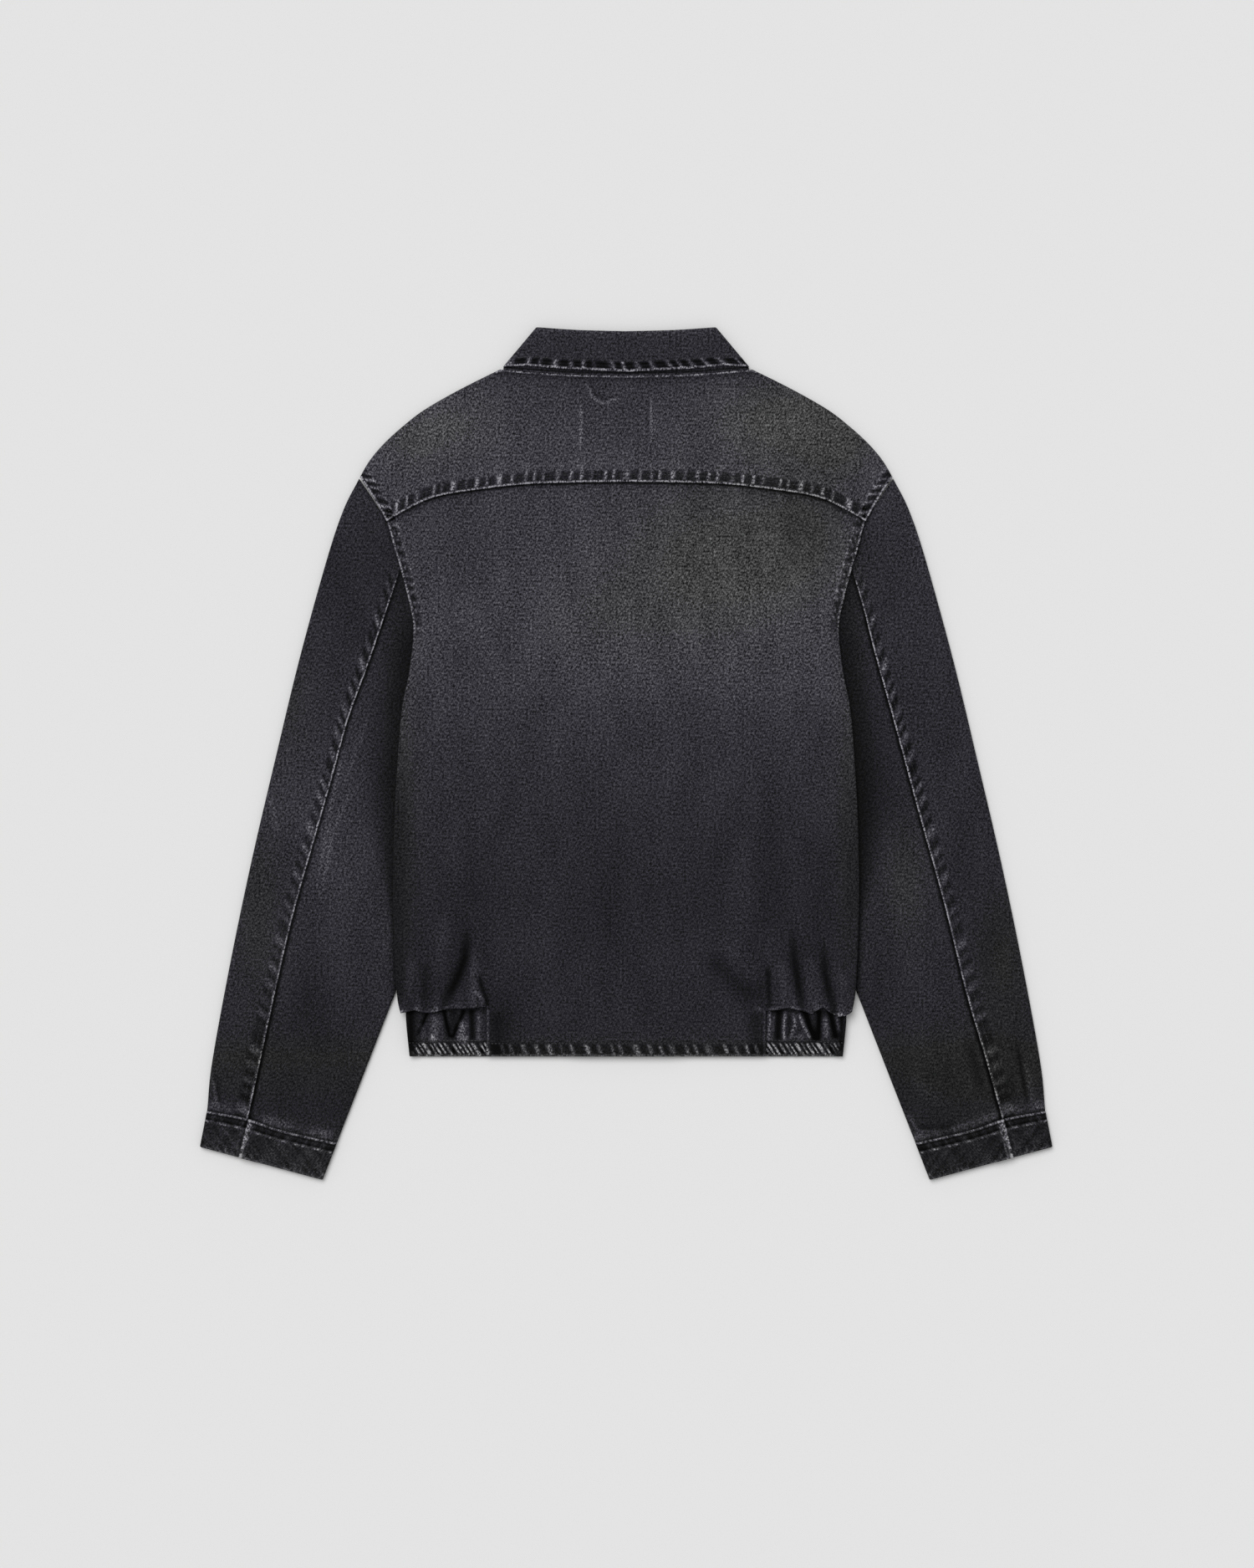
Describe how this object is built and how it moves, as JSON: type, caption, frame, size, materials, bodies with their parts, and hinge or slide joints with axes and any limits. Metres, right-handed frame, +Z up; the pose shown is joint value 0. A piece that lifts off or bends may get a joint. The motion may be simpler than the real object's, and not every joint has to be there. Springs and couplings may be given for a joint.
{
  "type": "denim jacket",
  "caption": "Washed denim jacket laid flat on its front, with shirt collar, back yoke, two-piece sleeves, cuffs and side-gathered hem.",
  "frame": {"origin": "on the surface that the jacket lies on, under the middle of its outline", "axes": "+Z up from that surface, out of the jacket's back; +Y towards the collar; +X towards the wearer's right sleeve"},
  "size_m": [0.7982, 0.797, 0.0122],
  "materials": {
    "denim": "charcoal washed cotton twill, matt",
    "button": "aged, worn at the rim"
  },
  "bodies": {
    "root": {"back_yoke": "denim", "back_panel": "denim", "front_left": "denim", "front_right": "denim", "collar_fall": "denim", "collar_stand": "denim", "sleeve_top_left": "denim", "sleeve_top_right": "denim", "sleeve_under_left": "denim", "sleeve_under_right": "denim", "cuff_left": "denim", "cuff_right": "denim", "hem_band_left": "denim", "hem_band_right": "denim", "button_1": "button", "button_2": "button", "button_3": "button", "button_4": "button", "button_5": "button", "button_6": "button"}
  },
  "joints": []
}
